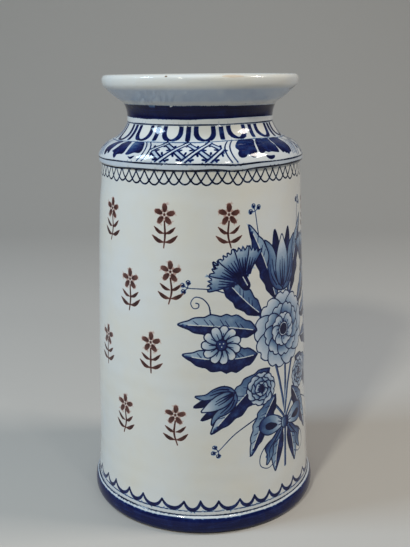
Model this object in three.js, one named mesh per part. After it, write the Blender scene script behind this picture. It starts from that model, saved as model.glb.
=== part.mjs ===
// A thrown faience jar for mustard: a tapered round body on a beaded foot, with a moulded
// shoulder, a short waisted neck and a flared rim. Millimetres, +Z up, the origin on the
// standing surface at the jar's axis.
//
// The jar is built in the potter's own sections, which are luted together with slip: a base
// slab laid in a foot ring, the body wall, the shoulder, the neck and the rim. Each upper
// section has a tongue that drops into the rebate of the one below it.

import * as THREE from "three";

// Steps of each turned surface, round the axis and along one curve of its outline
const roundSteps = 64;
const curveSteps = 6;
const slightCurveSteps = 3;

// Clay, and how the sections fit
const wallThickness = 6.5;
const slipGap = 0.3;
const tongueHeight = 3;

// Foot: a rounded bead round the bottom, standing on a flat unglazed ring
const footHeight = 13;
const footBeadRadius = 82.2;
const footBeadHeight = 4.8;
const footBeadShoulder = 10.6;
const standingInset = 3.6;
const standingWidth = 14;
const recessDepth = 3;
const slabInset = 3.8;

// Body: nearly straight, a little spread where it meets the foot
const bodyFootRadius = 79.3;
const bodyTopRadius = 69.4;
const bodyHeight = 230;
const footSpread = 0.7;
const spreadHeight = 46;
const insideCorner = 8;

// Shoulder: an overhanging edge, a convex slope up to a ridge, then a hollow up to the neck
const edgeOverhang = 1.4;
const edgeHeight = 4.4;
const edgeRounding = 1.2;
const ridgeRadius = 60.4;
const ridgeRise = 10.4;
const slopeSwell = 2.4;
const hollowRise = 11.2;
const hollowSag = 2.1;
const neckFootRadius = 50;

// Neck: a short waisted collar
const waistRadius = 49.8;
const waistHeight = 4;
const neckTopRadius = 52;
const neckHeight = 12.4;

// Rim: a flare at about 45 degrees that ends in a thick rounded lip
const flareRadius = 65.4;
const flareHeight = 11.3;
const flareHollow = 0.7;
const lipRadius = 66.4;
const lipHeight = 7.3;
const lipBellyHeight = 4.3;
const lipThickness = 6.6;

// The standing face lies inside the bead, and the slab inside both the bead and the body's foot
const standingRadius = footBeadRadius - standingInset;
const slabRadius = Math.min(footBeadRadius, bodyFootRadius) - slabInset;

// Where each section ends and the next one starts
const bodyFoot = footHeight;
const bodyTop = bodyFoot + bodyHeight;
const ridgeHeight = bodyTop + edgeHeight + ridgeRise;
const neckFoot = ridgeHeight + hollowRise;
const rimFoot = neckFoot + neckHeight;
const flareTop = rimFoot + flareHeight;
const crest = flareTop + lipHeight;

const clay = (color, roughness) =>
  new THREE.MeshStandardMaterial({ color, roughness, metalness: 0 });
const whiteGlaze = clay(0xd4d6d2, 0.18);
const cobaltGlaze = clay(0x1b2a5e, 0.15);

const at = (radius, height) => new THREE.Vector2(radius, height);

// The points of a quadratic curve, without its first one
function curve(from, control, to, steps = curveSteps) {
  return new THREE.QuadraticBezierCurve(from, control, to).getPoints(steps).slice(1);
}

// A control point beside the middle of a chord, moved out from the axis and up by the given amounts
function beside(from, to, outward, upward) {
  return at((from.x + to.x) / 2 + outward, (from.y + to.y) / 2 + upward);
}

// The middle of the wall at a joint, where tongue and rebate meet
const jointMiddle = (outerRadius) => outerRadius - wallThickness / 2;

// The top of a section: its outer half stands, and its inner half is cut down as a rebate
function rebate(outerRadius, height) {
  const step = jointMiddle(outerRadius) + slipGap / 2;
  return [
    at(outerRadius, height),
    at(step, height),
    at(step, height - tongueHeight),
    at(outerRadius - wallThickness, height - tongueHeight),
  ];
}

// The bottom of the section above: its inner half reaches down as a tongue
function tongue(outerRadius, height) {
  const step = jointMiddle(outerRadius) - slipGap / 2;
  return [
    at(outerRadius - wallThickness, height - tongueHeight),
    at(step, height - tongueHeight),
    at(step, height),
    at(outerRadius, height),
  ];
}

// A turned section: its outline runs round the section once, anticlockwise with the axis on
// the left, and is closed unless it starts and ends on the axis
function turned(name, outline, material) {
  const points = outline[0].x > 0 ? [...outline, outline[0].clone()] : outline;
  const geometry = new THREE.LatheGeometry(points, roundSteps);
  geometry.rotateX(Math.PI / 2);
  const mesh = new THREE.Mesh(geometry, material);
  mesh.name = name;
  return mesh;
}

// The foot ring: a standing face, the bead, and a seat inside it for the base slab
function footRing() {
  const standingEdge = at(standingRadius, 0);
  const belly = at(footBeadRadius, footBeadHeight);
  const top = at(bodyFootRadius, footHeight);
  const seatRadius = slabRadius + slipGap;
  const innerRadius = standingRadius - standingWidth;
  return turned(
    "foot_ring",
    [
      at(innerRadius, 0),
      standingEdge,
      ...curve(standingEdge, at(footBeadRadius, 0), belly),
      ...curve(belly, at(footBeadRadius, footBeadShoulder), top),
      at(seatRadius, footHeight),
      at(seatRadius, recessDepth),
      at(innerRadius, recessDepth),
    ],
    cobaltGlaze,
  );
}

// The base slab: a plain disc on the foot ring's seat, level with the ring's top
function baseSlab() {
  return turned(
    "base_slab",
    [at(0, recessDepth), at(slabRadius, recessDepth), at(slabRadius, footHeight), at(0, footHeight)],
    whiteGlaze,
  );
}

// The body wall: it stands on the slab and the foot ring, with a coil of clay in its inside corner
function bodyWall() {
  const foot = at(bodyFootRadius, bodyFoot);
  const top = at(bodyTopRadius, bodyTop);
  const unspread = at(bodyFootRadius - footSpread, bodyFoot);
  const straightFoot = unspread.clone().lerp(top, spreadHeight / bodyHeight);
  const bend = unspread.clone().lerp(straightFoot, 0.5);
  const cornerTop = at(bodyFootRadius - wallThickness - footSpread / 2, bodyFoot + insideCorner);
  const cornerFoot = at(cornerTop.x - insideCorner, bodyFoot);
  return turned(
    "body_wall",
    [
      cornerFoot,
      foot,
      ...curve(foot, bend, straightFoot),
      ...rebate(top.x, top.y),
      at(straightFoot.x - wallThickness, straightFoot.y),
      cornerTop,
      ...curve(cornerTop, at(cornerTop.x, bodyFoot), cornerFoot).slice(0, -1),
    ],
    whiteGlaze,
  );
}

// The shoulder: the edge overhangs the body, the slope swells up to the ridge, and the
// hollow above it sweeps in to the neck. The inside follows at the wall's thickness.
function shoulder() {
  const edgeRadius = bodyTopRadius + edgeOverhang;
  const underEdge = at(bodyTopRadius, bodyTop);
  const edgeFoot = at(edgeRadius, bodyTop + edgeRounding);
  const edgeTop = at(edgeRadius, bodyTop + edgeHeight);
  const ridge = at(ridgeRadius, ridgeHeight);
  const neck = at(neckFootRadius, neckFoot);
  const innerFoot = at(bodyTopRadius - wallThickness, bodyTop);
  const inward = wallThickness * Math.SQRT1_2;
  const innerRidge = at(ridgeRadius - inward, ridgeHeight - inward);
  const innerNeck = at(neckFootRadius - wallThickness, neckFoot - tongueHeight);
  return turned(
    "shoulder",
    [
      ...tongue(underEdge.x, underEdge.y),
      ...curve(underEdge, at(edgeRadius, bodyTop), edgeFoot, slightCurveSteps),
      edgeTop,
      ...curve(edgeTop, beside(edgeTop, ridge, slopeSwell, slopeSwell), ridge),
      ...curve(ridge, beside(ridge, neck, -hollowSag, -hollowSag), neck).slice(0, -1),
      ...rebate(neck.x, neck.y),
      ...curve(innerNeck, at(innerNeck.x, innerRidge.y), innerRidge, slightCurveSteps),
      ...curve(innerRidge, at(innerFoot.x, innerRidge.y), innerFoot, slightCurveSteps),
    ],
    whiteGlaze,
  );
}

// The neck: a collar that draws in to a waist and opens again below the flare
function neckCollar() {
  const foot = at(neckFootRadius, neckFoot);
  const waist = at(waistRadius, neckFoot + waistHeight);
  const top = at(neckTopRadius, rimFoot);
  const innerWaist = at(waistRadius - wallThickness, waist.y);
  return turned(
    "neck_collar",
    [
      ...tongue(foot.x, foot.y),
      waist,
      ...curve(waist, at(waistRadius, (waist.y + top.y) / 2), top, slightCurveSteps).slice(0, -1),
      ...rebate(top.x, top.y),
      innerWaist,
    ],
    cobaltGlaze,
  );
}

// The rim: a slightly hollow flare with a thick lip that is round outside, on top and inside
function flaredRim() {
  const foot = at(neckTopRadius, rimFoot);
  const lipFoot = at(flareRadius, flareTop);
  const belly = at(lipRadius, flareTop + lipBellyHeight);
  const crown = at(lipRadius - lipThickness / 2, crest);
  const lipInside = at(lipRadius - lipThickness, flareTop + lipBellyHeight);
  const innerFoot = at(neckTopRadius - wallThickness, rimFoot);
  return turned(
    "flared_rim",
    [
      ...tongue(foot.x, foot.y),
      ...curve(foot, beside(foot, lipFoot, flareHollow, -flareHollow), lipFoot),
      ...curve(lipFoot, at(lipRadius, flareTop + lipBellyHeight / 2), belly, slightCurveSteps),
      ...curve(belly, at(lipRadius, crest), crown, slightCurveSteps),
      ...curve(crown, at(lipInside.x, crest), lipInside, slightCurveSteps),
      ...curve(lipInside, beside(lipInside, innerFoot, flareHollow, -flareHollow), innerFoot),
    ],
    whiteGlaze,
  );
}

const jar = new THREE.Group();
jar.add(footRing(), baseSlab(), bodyWall(), shoulder(), neckCollar(), flaredRim());

export default jar;
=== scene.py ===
"""A tall faience jar for mustard, as it is thrown, luted together, glazed white and painted.

The jar is buff earthenware under an opaque white tin glaze. Cobalt blue and manganese purple are
brushed on the raw glaze and sink into it in the kiln. Everything is in metres, in the frame of the
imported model: +Z up, -Y towards the camera, the origin on the shelf at the jar's axis. Sizes of the
jar are written in millimetres, and angles round it in degrees from the front, to the right.
"""

import math

import bpy
import numpy as np
from mathutils import Matrix, Vector
from mathutils.geometry import delaunay_2d_cdt


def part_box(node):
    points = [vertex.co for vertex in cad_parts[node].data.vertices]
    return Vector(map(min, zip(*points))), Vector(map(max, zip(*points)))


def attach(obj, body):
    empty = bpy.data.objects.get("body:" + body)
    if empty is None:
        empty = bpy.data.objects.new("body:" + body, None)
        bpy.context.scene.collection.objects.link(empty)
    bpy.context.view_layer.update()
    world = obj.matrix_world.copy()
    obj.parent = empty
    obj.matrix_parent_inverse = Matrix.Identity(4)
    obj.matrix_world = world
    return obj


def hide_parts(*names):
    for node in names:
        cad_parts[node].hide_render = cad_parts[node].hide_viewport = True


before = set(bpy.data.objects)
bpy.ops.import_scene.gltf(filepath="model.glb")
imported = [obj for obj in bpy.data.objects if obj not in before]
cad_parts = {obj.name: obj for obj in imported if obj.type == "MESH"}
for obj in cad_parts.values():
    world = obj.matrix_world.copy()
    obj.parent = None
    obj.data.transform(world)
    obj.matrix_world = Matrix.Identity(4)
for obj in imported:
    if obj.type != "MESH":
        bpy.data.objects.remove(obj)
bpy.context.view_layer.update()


# Foot ring
# The bottom of the jar: a thick ring of buff clay with a rounded bead outside. The potter turns it,
# lays the base slab in its seat and brushes it with cobalt on the wheel. Only the flat ring that it
# stands on is wiped bare of glaze before the firing.

MM = 0.001
ROUND_STEPS = 192
WALL = 6.5
SLIP_GAP = 0.3
TONGUE = 3.0
FOOT_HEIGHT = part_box("foot_ring")[1].z / MM
BEAD_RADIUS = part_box("foot_ring")[1].x / MM
BEAD_HEIGHT = 4.8
BEAD_SHOULDER = 10.6
STANDING_RADIUS = BEAD_RADIUS - 3.6
STANDING_WIDTH = 14.0
SLAB_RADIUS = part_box("base_slab")[1].x / MM
SLAB_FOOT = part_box("base_slab")[0].z / MM
BODY_FOOT_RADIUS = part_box("body_wall")[1].x / MM


def bow(start, control, end, steps=12):
    """The points of a curve from start to end that bends towards control, without its first point."""
    t = np.linspace(0, 1, steps + 1)[1:, None]
    start, control, end = (np.array(point, float) for point in (start, control, end))
    return list((1 - t) ** 2 * start + 2 * t * (1 - t) * control + t**2 * end)


# Where the wall swells or draws in at the two sides: how far outward, towards which angle, round
# which height and over what reach up and down
SWELLINGS = (
    (1.05, -1.48, 138, 78),
    (-0.8, -1.48, 235, 15),
    (-0.8, 1.48, 215, 75),
    (-0.7, 1.48, 85, 18),
)
SWELLING_WIDTH = 0.6


def thrown_unevenness(angle, height):
    """How far the potter's hands left the wall out of true, in mm outward."""
    lean = 0.16 * np.sin(2 * angle + 0.7 + height / 90) + 0.09 * np.sin(3 * angle - 1.1 - height / 60)
    finger_rings = 0.045 * np.sin(height / 2.1 + 1.3 * np.sin(angle)) * np.sin(height / 23 + 0.4)
    out = lean + finger_rings
    for size, towards, middle, reach in SWELLINGS:
        aside, away = (angle - towards) / SWELLING_WIDTH, (height - middle) / reach
        out = out + size * np.exp(-(aside**2) - away**4)
    return out * np.clip((height - 12) / 20, 0, 1) * np.clip((300 - height) / 12, 0.25, 1)


def round_axis(angle, radius, height):
    """Points round the jar's axis, at these angles from the front."""
    return np.column_stack([radius * np.sin(angle), -radius * np.cos(angle), height + 0 * angle])


class TurnedFace:
    """The glazed face of one section, from its lower joint to its upper one, and the back of its
    outline, which runs on from there to where the face began. A place on the face is its angle
    round the jar in radians and its way up the face in mm."""

    def __init__(self, face, back):
        self.outline = np.array(face, float)
        self.back = np.array(back, float)
        steps = np.hypot(*np.diff(self.outline, axis=0).T)
        self.ways = np.concatenate([[0.0], np.cumsum(steps)])
        self.length = self.ways[-1]
        evenly = np.linspace(0, self.length, 200)
        self.mean_radius = float(self.radius(evenly).mean())

    def radius(self, way):
        return np.interp(way, self.ways, self.outline[:, 0])

    def height(self, way):
        return np.interp(way, self.ways, self.outline[:, 1])

    def way_at(self, height):
        """The way up to a height, and straight on beyond the face's two ends."""
        low, high = self.outline[[0, -1], 1]
        beyond = np.minimum(height - low, 0) + np.maximum(height - high, 0)
        return np.interp(height, self.outline[:, 1], self.ways) + beyond

    def point(self, angle, way):
        height = self.height(way)
        return round_axis(angle, self.radius(way) + thrown_unevenness(angle, height), height)

    def normal(self, angle, way, reach=0.45):
        """The face's direction, measured over a short reach, so that every corner looks glazed over."""
        low, high = np.clip(way - reach, 0, self.length), np.clip(way + reach, 0, self.length)
        turn = reach / self.radius(way)
        upward = self.point(angle, high) - self.point(angle, low)
        across = self.point(angle + turn, way) - self.point(angle - turn, way)
        outward = np.cross(across, upward)
        return outward / np.linalg.norm(outward, axis=1, keepdims=True)


def smooth_curve(points, step, closed=False):
    """A smooth curve through the points, with a point at every step of its length."""
    points = np.asarray(points, float)
    if closed:
        points = np.vstack([points, points[:1]])
    if len(points) > 2:
        before = points[-2] if closed else 2 * points[0] - points[1]
        after = points[1] if closed else 2 * points[-1] - points[-2]
        run = np.vstack([before, points, after])
        t = np.linspace(0, 1, 9)[:-1, None, None]
        a, b, c, d = run[:-3], run[1:-2], run[2:-1], run[3:]
        parts = 0.5 * (
            2 * b + (c - a) * t + (2 * a - 5 * b + 4 * c - d) * t**2 + (3 * b - a - 3 * c + d) * t**3
        )
        points = np.vstack([parts.transpose(1, 0, 2).reshape(-1, 2), points[-1:]])
    way = np.concatenate([[0.0], np.cumsum(np.hypot(*np.diff(points, axis=0).T))])
    even = np.linspace(0, way[-1], max(3, math.ceil(way[-1] / step) + 1))
    return np.column_stack([np.interp(even, way, points[:, 0]), np.interp(even, way, points[:, 1])])


def how_deep(places, path, half_width, reach):
    """How deep each place lies inside a mark along the path, in mm and down to -reach, and how far
    along the mark it lies, from 0 to 1."""
    depth = np.full(len(places), -float(reach))
    along = np.zeros(len(places))
    for first in range(0, len(path) - 1, 8):
        part, half = path[first : first + 9], half_width[first : first + 9]
        around = half.max() + reach
        near = ((places > part.min(0) - around) & (places < part.max(0) + around)).all(1)
        near = np.flatnonzero(near)
        start, leg = part[:-1], np.diff(part, axis=0)
        offset = places[near, None] - start
        share = ((offset * leg).sum(2) / np.maximum((leg**2).sum(1), 1e-9)).clip(0, 1)
        gap = np.hypot(*(offset - share[:, :, None] * leg).transpose(2, 0, 1))
        inside = half[:-1] + share * np.diff(half) - gap
        best = inside.argmax(1)
        rows = np.arange(len(near))
        better = inside[rows, best] > depth[near]
        depth[near[better]] = inside[rows, best][better]
        along[near[better]] = (first + best + share[rows, best])[better] / (len(path) - 1)
    return depth, along


def encloses(outline, places):
    """Whether each place lies inside a closed outline."""
    x, y = places[:, 0, None], places[:, 1, None]
    (x0, y0), (x1, y1) = outline[:-1].T, outline[1:].T
    crosses = (y0 > y) != (y1 > y)
    rise = np.where(y1 == y0, 1e-9, y1 - y0)
    return (crosses & (x < x0 + (y - y0) * (x1 - x0) / rise)).sum(1) % 2 == 1


class Mark:
    """One mark of the brush: a stroke or a scratch along a path, a wash or a lift inside an outline,
    or a band round the jar between two edges."""

    POOL = 2.4

    def __init__(self, kind, pigment, load, shape, half=None, stretch=None, soft=0.16, deeper=None):
        self.kind = kind
        self.pigment = pigment
        self.load = np.atleast_1d(load)
        self.shape = shape
        self.half = half
        self.stretch = stretch
        self.soft = soft
        self.deeper = deeper

    def cover(self, places):
        """How much of the pigment the mark lays, or takes away, at each place."""
        if self.kind == "band":
            low, high = self.shape(places[:, 0])
            depth = np.minimum(places[:, 1] - low, high - places[:, 1])
            return np.clip(0.5 + depth / (2 * self.soft), 0, 1) * self.load[0]
        if self.half is not None:
            depth, along = how_deep(places, self.shape, self.half, self.soft)
            evenly = np.linspace(0, 1, len(self.load))
            return np.clip(0.5 + depth / (2 * self.soft), 0, 1) * np.interp(along, evenly, self.load)
        gap = -how_deep(places, self.shape, np.zeros(len(self.shape)), self.POOL)[0]
        depth = np.where(encloses(self.shape, places), gap, -gap)
        amount = np.clip(0.5 + depth / (2 * self.soft), 0, 1) * self.load[0]
        if self.kind == "wash":
            amount = amount * (1 + 0.25 * np.exp(-np.maximum(depth, 0) / 0.7))
            if self.deeper is not None:
                size = np.ptp(self.shape, axis=0).max() / 2
                side = ((places - self.shape.mean(0)) / size) @ self.deeper
                amount = amount * np.clip(1 + side, 0.15, 2.5)
        return np.clip(amount, 0, 1)


class Painting:
    """The brush marks on one turned face, laid out flat. A place is (mm across at the face's mean
    radius, mm up the face), and the sizes of a mark are true ones wherever it is painted."""

    def __init__(self, face):
        self.face = face
        self.half_round = math.pi * face.mean_radius
        self.marks = []
        self.rows = []

    def spot(self, degrees, height):
        """The place at an angle round the jar and a height above the shelf."""
        across = math.radians(degrees) * self.face.mean_radius
        return np.array([across, float(self.face.way_at(height))])

    def true_size(self, path):
        """What a mm at the mean radius measures at the height of this path."""
        return np.array([float(self.face.radius(path[:, 1].mean())) / self.face.mean_radius, 1.0])

    def rows_beside(self, path, offsets, stretch):
        """Rows of mesh points beside a path, so that the painted edge is as sharp as a brush's."""
        along = np.gradient(path, axis=0)
        along /= np.maximum(np.hypot(*along.T), 1e-9)[:, None]
        left = np.column_stack([-along[:, 1], along[:, 0]])
        for offset in offsets:
            row = path + left * np.broadcast_to(offset, len(path))[:, None]
            self.rows.append((len(self.marks), row / stretch))

    def stroke(self, path, width, load=0.97, pigment="cobalt", soft=0.16, step=1.0, kind="stroke"):
        """One pull of the brush: width and load are single numbers or run along the stroke."""
        path = np.asarray(path, float)
        stretch = self.true_size(path)
        path = smooth_curve(path * stretch, step)
        evenly = np.linspace(0, 1, len(path))
        half = np.interp(evenly, np.linspace(0, 1, np.size(width)), np.atleast_1d(width)) / 2
        self.marks.append(Mark(kind, pigment, load, path, half, stretch, soft))
        core = np.maximum(half - soft, 0.05)
        self.rows_beside(path, [half + soft, -half - soft, core, -core], stretch)
        if half.max() > 1.3:
            self.rows_beside(path, [0 * half], stretch)
        for end, inner, reach in ((path[0], path[1], half[0]), (path[-1], path[-2], half[-1])):
            ahead = math.atan2(*(end - inner)[::-1])
            fan = ahead + np.radians([-60, -30, 0, 30, 60])
            rim = np.column_stack([np.cos(fan), np.sin(fan)])
            self.rows.append((len(self.marks), (end + rim * (reach + soft)) / stretch))

    def scratch(self, path, width, pigment="cobalt"):
        """A line wiped clear in the colour."""
        self.stroke(path, width, 1.0, pigment, kind="scratch")

    def wash(self, outline, load, pigment="cobalt", deeper=None, edged=False, kind="wash"):
        """A filled shape, a little darker where the colour pools at its edge. deeper says towards
        which side it darkens, and how much. edged is for a shape that a stroke goes round."""
        outline = np.asarray(outline, float)
        stretch = self.true_size(outline)
        outline = smooth_curve(outline * stretch, 1.0, closed=True)
        deeper = None if deeper is None else np.asarray(deeper, float)
        self.marks.append(Mark(kind, pigment, load, outline, stretch=stretch, deeper=deeper))
        if not edged:
            self.rows_beside(outline, [0.16, -0.16], stretch)
        if kind == "wash":
            low, high = outline.min(0), outline.max(0)
            grid = np.mgrid[low[0] : high[0] : 2.4, low[1] : high[1] : 2.4].reshape(2, -1).T
            self.rows.append((len(self.marks), grid[encloses(outline, grid)] / stretch))

    def lift(self, outline, pigment="cobalt", edged=False):
        """A shape wiped clean of what lay under it."""
        self.wash(outline, 1.0, pigment, edged=edged, kind="lift")

    def band(self, low, high, load, pigment="cobalt", soft=0.16):
        """A band brushed all round on the wheel. low and high give its edges, in mm up the face,
        for an angle in radians."""
        mean_radius = self.face.mean_radius

        def edges(across):
            return low(across / mean_radius), high(across / mean_radius)

        self.marks.append(Mark("band", pigment, load, edges, soft=soft))
        across = np.linspace(-math.pi, math.pi, 260, endpoint=False) * mean_radius
        bottom, top = edges(across)
        for row in (bottom - soft, bottom + soft, top - soft, top + soft):
            self.rows.append((len(self.marks), np.column_stack([across, row])))

    def tint(self, load, low=-1.0, high=99.0, soft=0.5):
        """The thin blue that washed off the strokes, all round between two ways up the face; on the rim's
        flare the same band is painted shade.
        """
        self.band(lambda angle: low + 0 * angle, lambda angle: high + 0 * angle, load, soft=soft)

    def mesh_points(self):
        """The mesh points along all marks, without those that a later mark has wiped away."""
        lap = 2 * self.half_round
        points = np.vstack([row for _, row in self.rows])
        points[:, 0] = (points[:, 0] + self.half_round) % lap - self.half_round
        order = np.concatenate([np.full(len(row), number) for number, row in self.rows])
        kept = np.ones(len(points), bool)
        for number, mark in enumerate(self.marks):
            if mark.kind == "lift":
                low, high = mark.shape.min(0) / mark.stretch, mark.shape.max(0) / mark.stretch
                near = kept & (order <= number) & ((points > low) & (points < high)).all(1)
                near = np.flatnonzero(near)
                kept[near[encloses(mark.shape, points[near] * mark.stretch)]] = False
        return points[kept]

    def colour_at(self, places):
        """How much of each pigment lies at each place, from 0 to 1."""
        found = {mark.pigment: np.zeros(len(places)) for mark in self.marks}
        order = places[:, 0].argsort()
        across = places[order, 0]
        for mark in self.marks:
            on = found[mark.pigment]
            if mark.kind == "band":
                on += mark.cover(places) * (1 - on)
                continue
            reach = mark.soft + (0 if mark.half is None else mark.half.max())
            low, high = mark.shape.min(0) - reach, mark.shape.max(0) + reach
            for lap in (-2 * self.half_round, 0.0, 2 * self.half_round):
                ends = np.array([low[0], high[0]]) / mark.stretch[0] - lap
                first, last = np.searchsorted(across, ends)
                near = order[first:last]
                moved = (places[near] + [lap, 0]) * mark.stretch
                level = (moved[:, 1] > low[1]) & (moved[:, 1] < high[1])
                near, moved = near[level], moved[level]
                if len(near) and mark.kind in ("lift", "scratch"):
                    on[near] *= 1 - mark.cover(moved)
                elif len(near):
                    on[near] += mark.cover(moved) * (1 - on[near])
        return found


def unsteady(seed, size, *waves):
    """A slow wander of a line painted round the jar, in mm, for an angle in radians."""
    phases = np.random.default_rng(seed).uniform(0, 2 * math.pi, len(waves))

    def wander(angle):
        return size * sum(np.sin(wave * angle + phase) for wave, phase in zip(waves, phases)) / len(waves)

    return wander


def by_hand(*stops):
    """The height of a line drawn by hand on the turning jar, in mm for an angle in radians. It
    passes the stops, which are (degrees, height), and rises and falls softly between them."""
    degrees, heights = np.array(stops, float).T
    steps = np.arange(-180.0, 180.0)
    even = np.interp(steps, degrees, heights, period=360)
    soft = sum(np.roll(even, shift) for shift in range(-3, 4)) / 7
    return lambda angle: np.interp(np.degrees(angle), steps, soft, period=360)


def line_round(painting, height, width, load, seed, pigment="outline"):
    """A line round the jar, thick and thin by turns. height is a function of the angle."""
    up, thick = unsteady(seed, 0.1, 1, 2, 5, 9), unsteady(seed + 1, 0.16 * width, 3, 7, 13)
    painting.band(
        lambda angle: painting.face.way_at(height(angle)) + up(angle) - width / 2 - thick(angle),
        lambda angle: painting.face.way_at(height(angle)) + up(angle) + width / 2 + thick(angle),
        load,
        pigment,
    )


def turned_piece(name, node, painting, bake_rows=1, bake_across=None):
    """The mesh of one section: a glazed face that is fine along each brush mark, and a plain back."""
    face = painting.face
    half, length = painting.half_round, face.length
    row_width = 2 * half / bake_rows
    columns = [-half + row * row_width for row in range(bake_rows + 1)]
    around = -half + 2 * half * np.arange(ROUND_STEPS + 1) / ROUND_STEPS
    up = np.linspace(0, length, max(3, round(length / 0.4)))
    fixed = [np.column_stack([around, np.full(ROUND_STEPS + 1, way)]) for way in (0.0, length)]
    fixed += [np.column_stack([np.full(len(up), column), up]) for column in columns]
    coarse_x, coarse_y = np.meshgrid(np.arange(-half, half, 3.2), np.arange(0.8, length, 2.4))
    coarse_x[1::2] += 1.6
    loose = np.vstack([painting.mesh_points(), np.column_stack([coarse_x.ravel(), coarse_y.ravel()])])
    clear = (abs(loose[:, 0]) < half) & (loose[:, 1] > 0.25) & (loose[:, 1] < length - 0.25)
    for column in columns:
        clear &= abs(loose[:, 0] - column) > 0.25
    loose = loose[clear]
    _, first = np.unique(np.round(loose / 0.2).astype(int), axis=0, return_index=True)
    points = np.vstack([*fixed, loose[np.sort(first)]])
    _, first = np.unique(np.round(points, 4), axis=0, return_index=True)
    points = points[np.sort(first)]
    columns_kept = []
    for column in columns:
        on = np.flatnonzero(abs(points[:, 0] - column) < 1e-3)
        on = on[points[on, 1].argsort()]
        columns_kept += list(zip(on[:-1].tolist(), on[1:].tolist()))
    flat, _, triangles, *_ = delaunay_2d_cdt(
        [Vector(point) for point in points], columns_kept, [], 0, 1e-5, False
    )
    flat = np.array([point[:] for point in flat])
    triangles = np.array([t for t in triangles if len(t) == 3])

    # The last column meets the first at the back of the jar
    far = np.flatnonzero(flat[:, 0] > half - 1e-3)
    near = np.flatnonzero(flat[:, 0] < -half + 1e-3)
    meets = np.arange(len(flat))
    meets[far] = near[abs(flat[far, 1][:, None] - flat[near, 1]).argmin(1)]
    angle, way = flat[:, 0] / face.mean_radius, flat[:, 1]
    corners = face.point(angle, way)
    normals = face.normal(angle, way)
    density = painting.colour_at(flat)

    # Rings of the back, from the face's upper edge round to its lower one
    def face_ring(edge):
        on = np.flatnonzero((abs(way - edge) < 1e-3) & (flat[:, 0] < half - 1e-3))
        return on[flat[on, 0].argsort()]

    turns = -math.pi + 2 * math.pi * np.arange(ROUND_STEPS) / ROUND_STEPS
    rings, extra = [face_ring(length)], []
    for radius, height in face.back:
        extra.append(round_axis(turns, radius + thrown_unevenness(turns, height), height))
        rings.append(len(flat) + (len(extra) - 1) * ROUND_STEPS + np.arange(ROUND_STEPS))
    rings.append(face_ring(0.0))
    quads = []
    for earlier, later in zip(rings[:-1], rings[1:]):
        quads.append(np.column_stack([earlier, np.roll(earlier, -1), np.roll(later, -1), later]))
    quads = np.vstack(quads)

    # Where each corner lies on the bake's map: the face in rows, and the back in a strip above them
    whole = np.vstack([corners, *extra]) * MM
    row = np.clip(((flat[triangles, 0].mean(1) + half) / row_width).astype(int), 0, bake_rows - 1)
    u = (flat[triangles, 0] + half - row[:, None] * row_width) / row_width
    if bake_across is not None:
        u = np.interp(u, *bake_across)
    v = (row[:, None] + 0.01 + 0.96 * flat[triangles, 1] / length) / bake_rows * 0.84
    face_map = np.stack([0.002 + 0.996 * u, v], 2).reshape(-1, 2)
    outline = np.vstack([face.outline[-1:], face.back, face.outline[:1]])
    around_back = np.concatenate([[0], np.cumsum(np.hypot(*np.diff(outline, axis=0).T))])
    strip = 0.86 + 0.13 * around_back / around_back[-1]
    k = np.arange(ROUND_STEPS) / ROUND_STEPS
    back_map = []
    for low, high in zip(strip[:-1], strip[1:]):
        next_k = k + 1 / ROUND_STEPS
        corner_u = np.column_stack([k, next_k, next_k, k])
        corner_v = np.broadcast_to([low, low, high, high], corner_u.shape)
        back_map.append(np.stack([0.002 + 0.996 * corner_u, corner_v], 2).reshape(-1, 2))

    mesh = bpy.data.meshes.new(name)
    triangles_met = meets[triangles]
    on_face = quads < len(flat)
    quads_met = np.where(on_face, meets[np.where(on_face, quads, 0)], quads)
    used = np.unique(np.concatenate([triangles_met.ravel(), quads_met.ravel()]))
    renumbered = np.full(len(whole), -1)
    renumbered[used] = np.arange(len(used))
    faces = renumbered[triangles_met].tolist() + renumbered[quads_met].tolist()
    mesh.from_pydata(whole[used].tolist(), [], faces)
    mesh.shade_smooth()
    mesh.set_sharp_from_angle(angle=math.radians(38))
    bake_map = mesh.uv_layers.new(name="OFBake")
    bake_map.data.foreach_set("uv", np.vstack([face_map, *back_map]).ravel())
    for pigment, amount in density.items():
        laid = np.zeros(len(whole))
        laid[: len(flat)] = amount
        layer = mesh.attributes.new(pigment, "FLOAT", "POINT")
        layer.data.foreach_set("value", laid[used])
    loose_normals = np.zeros((len(mesh.loops), 3))
    loose_normals[: triangles.size] = normals[triangles.ravel()]
    mesh.normals_split_custom_set(loose_normals.tolist())
    piece = bpy.data.objects.new(name, mesh)
    bpy.context.scene.collection.objects.link(piece)
    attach(piece, "root")
    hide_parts(node)
    return piece


class Socket:
    """A number that varies over the glaze, so that a finish reads as a sum of its causes."""

    def __init__(self, finish, socket):
        self.finish = finish
        self.socket = socket

    def _with(self, operation, *others):
        return self.finish.node("ShaderNodeMath", {"operation": operation}, *others)

    def __add__(self, other):
        return self._with("ADD", self, other)

    def __sub__(self, other):
        return self._with("SUBTRACT", self, other)

    def __rsub__(self, other):
        return self._with("SUBTRACT", other, self)

    def __mul__(self, other):
        return self._with("MULTIPLY", self, other)

    def between(self, low, high):
        """0 up to low and 1 from high on, with an even rise between them."""
        settings = {"interpolation_type": "LINEAR", "clamp": True}
        return self.finish.node("ShaderNodeMapRange", settings, self, low, high)

    __radd__, __rmul__ = __add__, __mul__


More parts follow.
